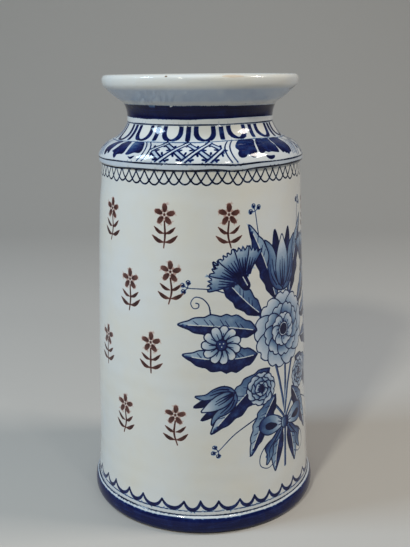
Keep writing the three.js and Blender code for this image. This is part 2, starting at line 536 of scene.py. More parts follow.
class Finish:
    """One fired surface, built node by node round a Principled shader."""

    def __init__(self, name, roughness):
        self.material = bpy.data.materials.new(name)
        self.material.use_nodes = True
        self.tree = self.material.node_tree
        self.shader = self.tree.nodes["Principled BSDF"]
        self.shader.inputs["Roughness"].default_value = roughness
        self.shader.inputs["IOR"].default_value = 1.48
        self.shader.inputs["Specular IOR Level"].default_value = 0.3

    def node(self, kind, settings=None, *values, out=0):
        """A node of that kind, with its settings and then the values or links of its sockets."""
        node = self.tree.nodes.new(kind)
        for name, value in (settings or {}).items():
            if name == "stops":
                self.set_stops(node.color_ramp, value)
            else:
                setattr(node, name, value)
        sockets = [s for s in node.inputs if s.enabled]
        named = values[0] if len(values) == 1 and isinstance(values[0], dict) else None
        pairs = named.items() if named is not None else enumerate(values)
        for key, value in pairs:
            self.feed(node.inputs[key] if named is not None else sockets[key], value)
        return Socket(self, node.outputs[out])

    def set_stops(self, ramp, stops):
        while len(ramp.elements) < len(stops):
            ramp.elements.new(0.5)
        for element, (place, colour) in zip(ramp.elements, stops):
            element.position = place
            element.color = colour

    def feed(self, socket, value):
        if isinstance(value, Socket):
            self.tree.links.new(value.socket, socket)
        else:
            socket.default_value = value

    def set(self, name, value):
        self.feed(self.shader.inputs[name], value)

    def noise(self, where, scale, detail=3.0, roughness=0.55):
        values = {"Vector": where, "Scale": scale, "Detail": detail, "Roughness": roughness}
        return self.node("ShaderNodeTexNoise", {}, values)

    def mix(self, amount, under, over):
        """under where amount is 0, and over where it is 1. Both are colours."""
        values = {"Factor": amount, 6: under, 7: over}
        return self.node("ShaderNodeMix", {"data_type": "RGBA"}, values, out=2)


def srgb(red, green, blue):
    """A colour as it is read off a screen, as the shader's own numbers."""
    shares = [value / 255 for value in (red, green, blue)]
    linear = [s / 12.92 if s <= 0.04045 else ((s + 0.055) / 1.055) ** 2.4 for s in shares]
    return (*linear, 1.0)


TIN_WHITE = srgb(202, 206, 208)
TIN_WARM = srgb(204, 203, 196)
BUFF_CLAY = srgb(176, 140, 104)
SPECK = srgb(84, 70, 60)
PIGMENTS = {
    "cobalt": (
        (0.0, srgb(205, 207, 207)),
        (0.14, srgb(178, 190, 205)),
        (0.32, srgb(128, 151, 176)),
        (0.52, srgb(74, 102, 139)),
        (0.72, srgb(31, 53, 104)),
        (0.88, srgb(8, 21, 74)),
        (1.0, srgb(0, 4, 50)),
    ),
    "outline": (
        (0.0, srgb(203, 206, 207)),
        (0.3, srgb(140, 153, 170)),
        (0.6, srgb(68, 84, 112)),
        (0.85, srgb(24, 34, 62)),
        (1.0, srgb(5, 9, 28)),
    ),
    "manganese": (
        (0.0, srgb(205, 203, 200)),
        (0.3, srgb(170, 144, 138)),
        (0.65, srgb(92, 60, 56)),
        (1.0, srgb(40, 20, 22)),
    ),
    "ochre": ((0.0, srgb(205, 203, 198)), (1.0, srgb(176, 142, 96))),
    "wear": ((0.0, srgb(150, 130, 110)), (1.0, srgb(52, 44, 38))),
}


def tin_glaze(name, painting=None, brush_streaks=0.0, bare_below=None):
    """Tin glaze over buff clay: white, glossy and a little uneven, with what is painted in it."""
    finish = Finish(name, 0.12)
    where = finish.node("ShaderNodeTexCoord", {}, out=3)
    cloud = finish.noise(where, 28.0)
    grain = finish.noise(where, 900.0, 2.0)
    ripple = finish.noise(where, 95.0, 1.5, 0.4)
    colour = finish.mix(cloud.between(0.35, 0.75), TIN_WHITE, TIN_WARM)
    painted = {mark.pigment for mark in painting.marks} if painting else ()
    for pigment, stops in PIGMENTS.items():
        if pigment not in painted:
            continue
        density = finish.node("ShaderNodeAttribute", {"attribute_name": pigment}, out=2)
        thin = finish.noise(where, 150.0, 4.0).between(0.48, 0.78)
        laid = density * (1.04 - (0.12 if brush_streaks else 0.3) * thin + 0.16 * (grain - 0.5))
        if brush_streaks:
            stretched = finish.node(
                "ShaderNodeVectorMath", {"operation": "MULTIPLY"}, where, (1.0, 1.0, 26.0)
            )
            laid = laid * (1 - brush_streaks * finish.noise(stretched, 62.0, 3.0, 0.6).between(0.45, 0.8))
        tone = finish.node("ShaderNodeValToRGB", {"stops": stops}, laid)
        colour = finish.mix(density.between(0.02, 0.12), colour, tone)
    specks = finish.node("ShaderNodeTexVoronoi", {}, {"Vector": where, "Scale": 72.0})
    chosen = finish.noise(where, 41.0, 0.0).between(0.66, 0.70)
    speck = (1 - specks.between(0.035, 0.06)) * chosen
    colour = finish.mix(speck * 0.8, colour, SPECK)
    roughness = 0.05 + 0.05 * cloud
    height = ripple * 0.00016 + grain * 0.000004 - speck * 0.0002
    if bare_below is not None:
        level = finish.node("ShaderNodeSeparateXYZ", {}, where, out=2)
        edge = level + 0.0008 * (grain - 0.5)
        bare = 1 - edge.between(bare_below, bare_below + 0.0004)
        clay = finish.mix(grain, BUFF_CLAY, srgb(150, 116, 84))
        colour = finish.mix(bare, colour, clay)
        roughness = roughness + bare * 0.7
        height = height + bare * grain * 0.00006
    finish.set("Base Color", colour)
    finish.set("Roughness", roughness)
    bump = finish.node("ShaderNodeBump", {}, {"Strength": 1.0, "Distance": 1.0, "Height": height})
    finish.set("Normal", bump)
    return finish.material


standing_edge = (STANDING_RADIUS, 0.0)
bead = (BEAD_RADIUS, BEAD_HEIGHT)
foot_top = (BODY_FOOT_RADIUS, FOOT_HEIGHT)
seat_radius = SLAB_RADIUS + SLIP_GAP
foot_bore = STANDING_RADIUS - STANDING_WIDTH
foot = TurnedFace(
    [
        standing_edge,
        *bow(standing_edge, (BEAD_RADIUS, 0.0), bead),
        *bow(bead, (BEAD_RADIUS, BEAD_SHOULDER), foot_top),
    ],
    [
        (seat_radius, FOOT_HEIGHT),
        (seat_radius, SLAB_FOOT),
        (foot_bore, SLAB_FOOT),
        (foot_bore, 0.0),
    ],
)
foot_painting = Painting(foot)
BLUE_HEIGHT = 11.4
blue_top = float(foot.way_at(BLUE_HEIGHT))
blue_edge = unsteady(11, 0.3, 2, 5, 11, 17)
foot_painting.band(lambda angle: 0 * angle - 1, lambda angle: blue_top + blue_edge(angle), 0.93, soft=0.3)
foot_painting.band(
    lambda angle: blue_top + 0.1 + blue_edge(angle), lambda angle: 0 * angle + 99, 0.09, soft=0.5
)
# A line along the joint with the body
joint_line = by_hand((-100, 12.9), (-63, 12.5), (-40, 12.85), (60, 12.95))
line_round(foot_painting, joint_line, 0.9, 1.0, seed=12)
foot_ring = turned_piece("foot_ring_glazed", "foot_ring", foot_painting, bake_rows=4)
foot_ring.data.materials.append(
    tin_glaze("foot_cobalt_glaze", foot_painting, brush_streaks=0.18, bare_below=0.0003)
)


# Base slab
# The jar's floor: a plain disc of clay, laid in the foot ring's seat and sealed with slip. It is
# glazed white inside the jar and underneath.

SLAB_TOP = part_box("base_slab")[1].z / MM
slab_outline = [
    (0.0, SLAB_FOOT),
    (SLAB_RADIUS - 0.6, SLAB_FOOT),
    (SLAB_RADIUS, SLAB_FOOT + 0.6),
    (SLAB_RADIUS, SLAB_TOP - 0.2),
    (SLAB_RADIUS - 0.2, SLAB_TOP),
    (0.0, SLAB_TOP),
]


def turned_disc(name, node, outline):
    """A solid disc turned from an outline that starts and ends on the axis."""
    turns = -math.pi + 2 * math.pi * np.arange(ROUND_STEPS) / ROUND_STEPS
    rings = [round_axis(turns, radius, height) for radius, height in outline[1:-1]]
    corners = np.vstack([*rings, [(0, 0, outline[0][1])], [(0, 0, outline[-1][1])]]) * MM
    under, over = len(corners) - 2, len(corners) - 1
    step = np.arange(ROUND_STEPS)
    after = np.roll(step, -1)
    last = (len(rings) - 1) * ROUND_STEPS
    faces = np.column_stack([step * 0 + under, after, step]).tolist()
    faces += np.column_stack([last + step, last + after, step * 0 + over]).tolist()
    for low in range(0, last, ROUND_STEPS):
        high = low + ROUND_STEPS
        faces += np.column_stack([low + step, low + after, high + after, high + step]).tolist()
    mesh = bpy.data.meshes.new(name)
    mesh.from_pydata(corners.tolist(), [], faces)
    mesh.shade_smooth()
    mesh.set_sharp_from_angle(angle=math.radians(38))
    piece = bpy.data.objects.new(name, mesh)
    bpy.context.scene.collection.objects.link(piece)
    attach(piece, "root")
    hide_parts(node)
    return piece


base_slab = turned_disc("base_slab_glazed", "base_slab", slab_outline)
base_slab.data.materials.append(tin_glaze("base_white_glaze"))


# Body wall
# The tall wall, thrown in one and tapered a little, stands on the slab and the foot ring. Round its
# foot run a thin line and a row of hanging scallops, and under the shoulder a row of loops that
# cross. A spray of flowers in blue stands at the right of the front, with small purple sprigs round it.

BODY_TOP_RADIUS = 69.4
BODY_TOP = FOOT_HEIGHT + 230.0
FOOT_SPREAD = 0.7
SPREAD_HEIGHT = 46.0
INSIDE_CORNER = 8.0


def rebate(outer_radius, height):
    """The top of a section from its outer edge: the outer half stands, the inner half is cut down."""
    step = outer_radius - WALL / 2 + SLIP_GAP / 2
    return [(step, height), (step, height - TONGUE), (outer_radius - WALL, height - TONGUE)]


def tongue(outer_radius, height):
    """The bottom of the section above, from inside: its inner half reaches down into the rebate."""
    step = outer_radius - WALL / 2 - SLIP_GAP / 2
    return [(outer_radius - WALL, height - TONGUE), (step, height - TONGUE), (step, height)]


body_foot = np.array([BODY_FOOT_RADIUS, FOOT_HEIGHT])
body_top = np.array([BODY_TOP_RADIUS, BODY_TOP])
unspread = body_foot - [FOOT_SPREAD, 0]
straight_foot = unspread + (body_top - unspread) * SPREAD_HEIGHT / (BODY_TOP - FOOT_HEIGHT)
corner_top = np.array([BODY_FOOT_RADIUS - WALL - FOOT_SPREAD / 2, FOOT_HEIGHT + INSIDE_CORNER])
corner_foot = corner_top - INSIDE_CORNER
body = TurnedFace(
    [body_foot, *bow(body_foot, (unspread + straight_foot) / 2, straight_foot), body_top],
    [
        *rebate(*body_top),
        straight_foot - [WALL, 0],
        corner_top,
        *bow(corner_top, (corner_top[0], FOOT_HEIGHT), corner_foot),
    ],
)
body_painting = Painting(body)
hand = np.random.default_rng(1)

# Two lines and a row of hanging scallops round the foot, tinted blue between them. The cusps at the
# front stand in the photographed rhythm, in degrees, and the others about as far apart.
SCALLOP_FOOT = 17.2
SCALLOP_TOP = 23.2
line_round(body_painting, joint_line, 0.9, 1.0, seed=12)
line_round(body_painting, by_hand((0, 15.9), (180, 15.9)), 0.75, 0.85, seed=14, pigment="cobalt")
body_painting.tint(0.08, high=float(body.way_at(18.0)), soft=1.4)
cusps = [-52.1, -41.0, -31.9, -21.2, -9.8, -1.7, 7.2, 18.0, 25.9, 34.8, 43.8, 53.6, 65.9]
cusps += [65.9 + 9.68 * number + hand.uniform(-1.2, 1.2) for number in range(1, 25)]
cusps = np.radians([*cusps, cusps[0] + 360]) * body.mean_radius
cusp_tops = body.way_at(SCALLOP_TOP) + hand.uniform(-0.5, 0.5, len(cusps))
cusp_tops[-1] = cusp_tops[0]
for left, right, top_left, top_right in zip(cusps[:-1], cusps[1:], cusp_tops[:-1], cusp_tops[1:]):
    low = body.way_at(SCALLOP_FOOT) + hand.uniform(-0.25, 0.25)
    width = right - left
    lean = hand.uniform(-0.04, 0.04) * width
    body_painting.stroke(
        [
            (left, top_left),
            (left + 0.1 * width, low + 3.1),
            (left + 0.26 * width, low + 0.9),
            (left + 0.5 * width + lean, low),
            (right - 0.26 * width, low + 0.9),
            (right - 0.1 * width, low + 3.1),
            (right, top_right),
        ],
        [1.0, 1.9, 2.4, 2.6, 2.4, 1.9, 1.0],
        [1.0, 0.92, 0.84, 0.92, 0.84, 0.92, 1.0],
    )

# Loops under the shoulder, each over its neighbours' halves
LOOPS = 66
LOOP_DROP = 8.2
loop_pitch = 2 * math.pi * body.mean_radius / LOOPS
loop_top = body.way_at(BODY_TOP) - 0.2
for number in range(LOOPS):
    middle = (number + 0.5) * loop_pitch + hand.uniform(-0.5, 0.5)
    spread = loop_pitch * hand.uniform(0.94, 1.08)
    drop = LOOP_DROP + hand.uniform(-0.9, 0.7)
    body_painting.stroke(
        [
            (middle - spread, loop_top + 0.4),
            (middle - 0.66 * spread, loop_top - 0.5 * drop),
            (middle - 0.3 * spread, loop_top - 0.9 * drop),
            (middle + hand.uniform(-0.3, 0.3), loop_top - drop),
            (middle + 0.3 * spread, loop_top - 0.9 * drop),
            (middle + 0.66 * spread, loop_top - 0.5 * drop),
            (middle + spread, loop_top + 0.4),
        ],
        [0.8, 0.95, 1.0, 1.05, 1.0, 0.95, 0.8],
        [0.95, 1.0, 1.0, 1.0, 1.0, 0.95, 0.9],
        "outline",
    )


class Brush:
    """A loaded brush held over one spot of the wall. What it paints is given in mm to the right of
    the spot and up from it. up turns the motif, in degrees to the left, and flip mirrors it."""

    def __init__(self, painting, spot, pigment="cobalt", up=0.0, size=1.0, flip=1):
        self.painting = painting
        self.spot = np.asarray(spot, float)
        self.pigment = pigment
        turn = math.radians(up)
        right = np.array([math.cos(turn), math.sin(turn)]) * flip
        above = np.array([-math.sin(turn), math.cos(turn)])
        self.axes = size * np.array([right, above])

    def lay(self, points):
        offset = np.asarray(points, float) @ self.axes
        return self.spot + offset / self.painting.true_size(self.spot[None])

    def moved(self, x, y, up=0.0, size=1.0, flip=1):
        """The same brush over another spot, for a part of the motif."""
        other = Brush(self.painting, self.lay([(x, y)])[0], self.pigment, up, size, flip)
        other.axes = other.axes @ self.axes
        return other

    def stroke(self, points, width, load=0.97, **how):
        self.painting.stroke(self.lay(points), width, load, self.pigment, **how)

    def scratch(self, points, width):
        self.painting.scratch(self.lay(points), width, self.pigment)

    def dot(self, x, y, across, load=1.0):
        self.stroke([(x - 0.05, y), (x, y), (x + 0.05, y)], across, load)

    def fill(self, points, load, deeper=None, edged=True):
        if deeper is not None:
            deeper = np.asarray(deeper, float) @ self.axes
        self.painting.wash(self.lay(points), load, self.pigment, deeper, edged)

    def shape(self, points, load, deeper=None, line=0.8):
        """A shape of its own: the white left for it, the wash in it and the dark line round it."""
        points = list(points)
        self.painting.lift(self.lay(points), self.pigment, edged=True)
        self.fill(points, load, deeper)
        self.stroke([*points, points[0]], line, 1.0)


def mirrored(points):
    """The points and, after them, their mirror images back to the start, for an even shape."""
    return [*points, *[(-x, y) for x, y in reversed(points) if x]]


def leaf(brush, reach, width, bend=0.0, teeth=0):
    """A pointed leaf straight up from the brush's spot: one half dark, and one light with veins."""
    t = np.linspace(0, 1, 17)
    rib = np.column_stack([bend * t**2, reach * t])
    run = np.gradient(rib, axis=0)
    side = np.column_stack([-run[:, 1], run[:, 0]]) / np.hypot(*run.T)[:, None]
    half = width / 2 * np.sin(math.pi * t**0.8) ** 0.85
    if teeth:
        half = half * (0.84 + 0.26 * (t * teeth % 1))
    left, right = rib + side * half[:, None], rib - side * half[:, None]
    brush.shape(np.vstack([left, right[-2:0:-1]]), 0.42, deeper=(0, -0.5), line=0.85)
    brush.fill(np.vstack([rib, right[-2:0:-1]]), 0.8)
    for share in np.linspace(0.18, 0.74, max(3, round(reach / 7.5))):
        k = round(share * 16)
        ahead = min(k + 2, 16)
        tip = 0.45 * rib[k] + 0.55 * (rib[ahead] + side[k] * half[k])
        brush.stroke([rib[k], tip], [0.7, 0.35], 0.9)
    brush.scratch(rib[1:-2], 0.6)


def petal(brush, reach, width, load=0.5, notch=0.06, hatches=3):
    """A rounded petal straight up from the spot, darker towards its foot."""
    half_outline = [
        (0.0, 0.0),
        (-0.26 * width, 0.22 * reach),
        (-0.5 * width, 0.6 * reach),
        (-0.4 * width, 0.9 * reach),
        (-0.16 * width, reach),
        (0.0, (1 - notch) * reach),
    ]
    brush.shape(mirrored(half_outline), load, deeper=(0, -0.9))
    for number in range(hatches):
        lean = (number - (hatches - 1) / 2) * 0.48 * width / max(hatches - 1, 1)
        tip = (0.62 - 0.2 * abs(lean) / width) * reach
        brush.stroke([(0.2 * lean, 0.1 * reach), (lean, tip)], [1.0, 0.4])


def rosette(brush, reach, petals):
    """An open flower seen from the front: rings of petals round a dark eye."""
    rings = ((reach, petals, 0.40), (0.7 * reach, petals, 0.62), (0.44 * reach, petals - 2, 0.3))
    for number, (ring_reach, count, load) in enumerate(rings):
        for k in range(count):
            turned = brush.moved(0, 0, up=360 * (k + 0.5 * (number % 2)) / count)
            petal(turned, ring_reach, 6.6 * ring_reach / count, load)
    eye = [(0.15 * reach * math.cos(a), 0.15 * reach * math.sin(a)) for a in np.radians(range(0, 360, 45))]
    brush.shape([(1.25 * x, 1.25 * y) for x, y in eye], 0.02)
    brush.fill(eye, 0.95, edged=False)
    for x, y in eye:
        brush.dot(1.75 * x, 1.75 * y, 0.9)


def tulip(brush):
    """A half open tulip straight up from its stem: three petals in front and two dark ones behind."""
    for flip in (-1, 1):
        side = brush.moved(0, 0, flip=flip)
        side.shape([(0, 14), (2, 26), (6.5, 37), (8.5, 28), (8, 17), (4, 8)], 0.9)
        front = [(0, 0), (6, 1.5), (11, 7), (12.6, 15), (11.8, 23), (14.8, 31.5)]
        front += [(8.4, 27), (5, 19), (2.2, 9)]
        side.shape(front, 0.5, deeper=(0.7, -0.4))
        side.stroke([(3.4, 4), (7.2, 11), (9.2, 20)], [1.3, 0.5])
        side.stroke([(5.6, 4), (9.6, 10), (11, 17)], [1.1, 0.4])
    middle = mirrored([(0, 1), (-4.6, 6), (-6.2, 14), (-4.8, 23), (-2, 30), (0, 33.5)])
    brush.shape(middle, 0.36, deeper=(0.3, -0.9))
    for lean in (-1.8, 0, 1.8):
        brush.stroke([(0.5 * lean, 3), (1.2 * lean, 12), (1.1 * lean, 20 - abs(lean))], [1.3, 0.9, 0.4])


def carnation(brush):
    """A carnation from the side: a fan of toothed petals out of a long dark cup."""
    for low, high in np.radians([(-64, -38), (38, 64), (-40, -12), (12, 40), (-15, 15)]):
        edge = []
        for number, angle in enumerate(np.linspace(low, high, 9)):
            reach = 25.0 if number % 2 else 22.6
            edge.append((reach * math.sin(angle), 4 + reach * math.cos(angle)))
        brush.shape([(0, 7), *edge], 0.46, deeper=(0, -1.0))
        for angle in np.linspace(low, high, 5)[1:-1]:
            way = np.array([math.sin(angle), math.cos(angle)])
            brush.stroke([way * 8 + (0, 4), way * 18 + (0, 4)], [1.5, 0.4])
    brush.shape(mirrored([(0, 0), (-2.6, 2), (-3.4, 7), (-4.6, 13), (0, 11.4)]), 0.92)
    brush.scratch([(-1, 3), (-1.4, 9.4)], 0.7)


def aster(brush):
    """A daisy flower: narrow petals round a netted eye."""
    for k in range(11):
        petal(brush.moved(0, 0, up=360 * (k + 0.3) / 11), 13.0, 6.3, 0.3, notch=0.0, hatches=1)
    brush.shape([(3.7 * math.cos(a), 3.7 * math.sin(a)) for a in np.radians(range(0, 360, 45))], 0.75)
    for x, y in ((-1.2, 0.9), (1.2, 0.9), (0, -1.2)):
        brush.scratch([(x - 0.1, y), (x + 0.1, y)], 0.8)


def berries(brush, reach, bend):
    """A thin curved stalk with three round dark berries at its end."""
    tip = np.array([bend, reach])
    brush.stroke([(0, 0), (0.25 * bend, 0.55 * reach), tip], [0.9, 0.55])
    for angle in np.radians([-70, 0, 70]):
        at = tip + 3.6 * np.array([math.sin(angle), math.cos(angle)])
        brush.stroke([tip, at], 0.5)
        brush.dot(*at, 3.5)
        brush.scratch([at + (-0.7, 0.5), at + (-0.6, 0.8)], 0.7)


def tendril(brush, reach):
    """A thin shoot that ends in a curl."""
    turns = [(0, 0), (-1, 7), (1.5, 13.5), (6.5, 16.5), (11, 13.5), (10.6, 8.8)]
    turns += [(7, 8), (5.6, 10.6), (7.4, 12)]
    brush.stroke([(reach / 18 * x, reach / 18 * y) for x, y in turns], [0.9, 0.75, 0.6, 0.55, 0.8])


def ribbon_bow(brush):
    """The ribbon that ties the stems: two loops, two tails and the knot over them."""
    for flip in (-1, 1):
        half = brush.moved(0, 0, flip=flip)
        tail = [(1, -1), (6, -9), (12, -13), (13, -20), (18.5, -26), (18, -19)]
        tail += [(19.5, -13), (13, -8), (6, -2)]
        half.shape(tail, 0.55, deeper=(0.5, 0.5))
        half.stroke([(5, -4), (11, -10.5), (15.4, -15), (16, -21)], [1.2, 0.5])
        half.shape([(0, 0), (6, 6), (15, 9.5), (23, 6.5), (23.5, 0), (17, -4.5), (8, -3.5)], 0.4, (0.9, 0))
        half.fill([(8, 0.6), (14, 4), (18.6, 3.4), (18.4, 0.2), (13.6, -1.4)], 0.95, edged=False)
        for y in (0.8, 2.4, 4.0):
            half.stroke([(2.6, 0.6 * y - 0.6), (7.4, 1.9 * y - 1.6)], [1.0, 0.4])
    brush.shape(mirrored([(0, -4), (-3, -3), (-3.8, 0.4), (-2.8, 3.6), (0, 4.2)]), 0.66, (0.8, 0))
    for x in (-1.4, 1.4):
        brush.stroke([(0.8 * x, -2.6), (x, 0), (0.7 * x, 2.8)], 0.6)


def flower_spray(brush):
    """Flowers and leaves tied with a ribbon, about 150 mm wide and 190 mm tall."""
    stems = (
        [(0, 2), (1, -30), (0, -64), (-1, -95)],
        [(-34, 42), (-20, 14), (-6, -28), (2, -64), (9, -91)],
        [(36, 40), (21, 12), (6, -28), (-2, -64), (-11, -90)],
        [(-48, -38), (-30, -30), (-11, -46), (3, -64), (15, -84)],
        [(48, -38), (30, -30), (11, -46), (-3, -64), (-18, -83)],
    )
    for stem in stems:
        brush.scratch(stem, 3.0)
        brush.stroke(stem, 1.9, 0.62)
        brush.stroke([(x + 0.8, y) for x, y in stem], 0.7, 1.0)
    for flip in (-1, 1):
        half = brush.moved(0, 0, flip=flip)
        berries(half.moved(12, 40, up=-22), 47, -6)
        berries(half.moved(34, 30, up=-62), 36, 9)
        berries(half.moved(24, -52, up=-112), 34, 8)
        tendril(half.moved(8, -70, up=-118), 24)
        tendril(half.moved(56, 22, up=-20), 15)
        for x, y, up, reach, width, bend, teeth in (
            (7, 26, -17, 56, 14, 6, 5),
            (20, 18, -52, 50, 14, -9, 5),
            (24, 8, -74, 53, 17, 8, 6),
            (24, -8, -97, 50, 18, -9, 6),
            (14, -20, -124, 58, 18, 9, 6),
            (9, -40, -141, 44, 14, 8, 5),
            (4, -66, -156, 30, 11, 6, 0),
        ):
            leaf(half.moved(x, y, up=up), reach, width, bend, teeth)
        carnation(half.moved(30, 36, up=-33))
        aster(half.moved(49, 1))
        tulip(half.moved(40, -32, up=-118, size=0.78))
        rosette(half.moved(21, -33), 11.5, 7)
    tulip(brush.moved(0, 31, size=1.12))
    rosette(brush.moved(0, 4), 26, 9)
    ribbon_bow(brush.moved(0, -63))


def sprig(brush):
    """A small purple sprig: a five petalled flower over a bent stalk with comma leaves."""
    lean = hand.uniform(-1.6, 1.6)
    brush.stroke([(-lean, -13), (0.6 * lean, -5), (0, 4)], [0.8, 1.3, 1.0], 0.9)
    for flip in (-1, 1):
        half = brush.moved(0, 0, flip=flip)
        for low, reach, thick in ((-9.4, 8.4, 2.6), (-3.8, 7.0, 2.2)):
            rise = hand.uniform(3.6, 4.8)
            half.stroke(
                [(0.4, low), (0.5 * reach, low + 0.9), (reach, low + rise)],
                [0.6, thick, 0.9 * thick, 0.5],
                [0.75, 0.95, 0.8],
            )
    for k in range(5):
        turned = brush.moved(0, 8, up=72 * k + hand.uniform(-5, 5))
        turned.stroke([(0, 1.9), (0.3, 4.2), (0, 6.6)], [1.4, 3.3, 3.6, 2.0], [0.95, 0.8, 0.62])
    brush.moved(0, 8).dot(0, 0, 1.9, 1.0)


# The spray, and the sprigs in rows on both sides of it
SPRAY_ANGLE = 47.5
SPRAY_HEIGHT = 131.0
SPRIGS = [(-55, 208), (-19, 208), (14, 208), (-40, 164), (-16, 172)]
SPRIGS += [(-60, 120), (-27, 124), (-44, 76), (-14, 76)]
flower_spray(Brush(body_painting, body_painting.spot(SPRAY_ANGLE, SPRAY_HEIGHT)))
for angle, height in SPRIGS:
    for degrees in (angle, 2 * SPRAY_ANGLE - angle):
        sprig(Brush(body_painting, body_painting.spot(degrees, height), "manganese"))

# A thick line under the overhanging edge. It dips right of the front, and climbs the edge beyond.
under_edge_line = by_hand(
    (-66, 242.4), (-55, 242.9), (-46, 243.1), (-35, 243.6), (-22, 243.3), (0, 243.4), (5, 243.8),
    (12, 243.4), (17.8, 242.5), (22.6, 243.2), (29, 244.0), (37, 244.0), (50, 244.05), (64, 244.2),
    (120, 243.4),
)
UNDER_EDGE_WIDTH = 1.35
line_round(body_painting, under_edge_line, UNDER_EDGE_WIDTH, 1.0, seed=21)

body_wall = turned_piece(
    "body_wall_painted",
    "body_wall",
    body_painting,
    bake_across=((0, 0.305, 0.847, 1), (0, 0.11, 0.89, 1)),
)
body_wall.data.materials.append(tin_glaze("body_painted_glaze", body_painting))


# Shoulder
# A moulded section luted on the body: its edge overhangs, and a swelling slope and a hollow lead up
# to the neck. The slope is painted with panels of lattice and of dark leaves by turns, and the
# hollow with a row of eggs between bars.

EDGE_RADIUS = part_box("shoulder")[1].x / MM
EDGE_HEIGHT = 4.4
EDGE_ROUNDING = 1.2
RIDGE_RADIUS = 60.4
RIDGE_HEIGHT = BODY_TOP + EDGE_HEIGHT + 10.4
SLOPE_SWELL = 2.4
HOLLOW_SAG = 2.1
NECK_FOOT_RADIUS = 50.0
NECK_FOOT = RIDGE_HEIGHT + 11.2


def beside(start, end, outward, upward):
    """A control point off the middle of a chord."""
    return ((start[0] + end[0]) / 2 + outward, (start[1] + end[1]) / 2 + upward)


edge_foot = (EDGE_RADIUS, BODY_TOP + EDGE_ROUNDING)
edge_top = (EDGE_RADIUS, BODY_TOP + EDGE_HEIGHT)
ridge = (RIDGE_RADIUS, RIDGE_HEIGHT)
neck_foot = (NECK_FOOT_RADIUS, NECK_FOOT)
inward = WALL * math.sqrt(0.5)
inner_ridge = (RIDGE_RADIUS - inward, RIDGE_HEIGHT - inward)
inner_neck = (NECK_FOOT_RADIUS - WALL, NECK_FOOT - TONGUE)
inner_shoulder_foot = (BODY_TOP_RADIUS - WALL, BODY_TOP)
shoulder = TurnedFace(
    [
        body_top,
        *bow(body_top, (EDGE_RADIUS, BODY_TOP), edge_foot),
        edge_top,
        *bow(edge_top, beside(edge_top, ridge, SLOPE_SWELL, SLOPE_SWELL), ridge),
        *bow(ridge, beside(ridge, neck_foot, -HOLLOW_SAG, -HOLLOW_SAG), neck_foot),
    ],
    [
        *rebate(*neck_foot),
        *bow(inner_neck, (inner_neck[0], inner_ridge[1]), inner_ridge),
        *bow(inner_ridge, (inner_shoulder_foot[0], inner_ridge[1]), inner_shoulder_foot),
        *tongue(*body_top),
    ],
)
shoulder_painting = Painting(shoulder)
hollow_top = float(shoulder.way_at(NECK_FOOT))
edge_line = by_hand(
    (-62, 246.85), (-50, 247.2), (3, 247.25), (9, 246.9), (17.4, 246.3), (25, 246.8), (30, 247.15),
    (74, 247.15), (150, 247.0),
)
ridge_line = by_hand(
    (-64, 258.0), (-53, 258.5), (-31, 259.1), (3, 259.3), (14, 259.8), (24, 260.15),
    (33, 260.4), (45, 260.2), (59, 259.5), (120, 258.8),
)
neck_line = by_hand((-60, 269.2), (14, 269.3), (26, 269.5), (53, 269.7), (67, 269.5), (120, 269.3))


def on_slope(degrees, share):
    """A place between the two lines of the slope: share is 0 at the edge and 1 past the ridge."""
    angle = math.radians(degrees)
    low, high = shoulder.way_at(edge_line(angle)), shoulder.way_at(ridge_line(angle))
    return (angle * shoulder.mean_radius, float(low + share * (high - low)))


# The lattice's crossings, as shares of the slope
LATTICE_FOOT = 0.15
LATTICE_MIDDLE = 0.535
LATTICE_TOP = 0.92


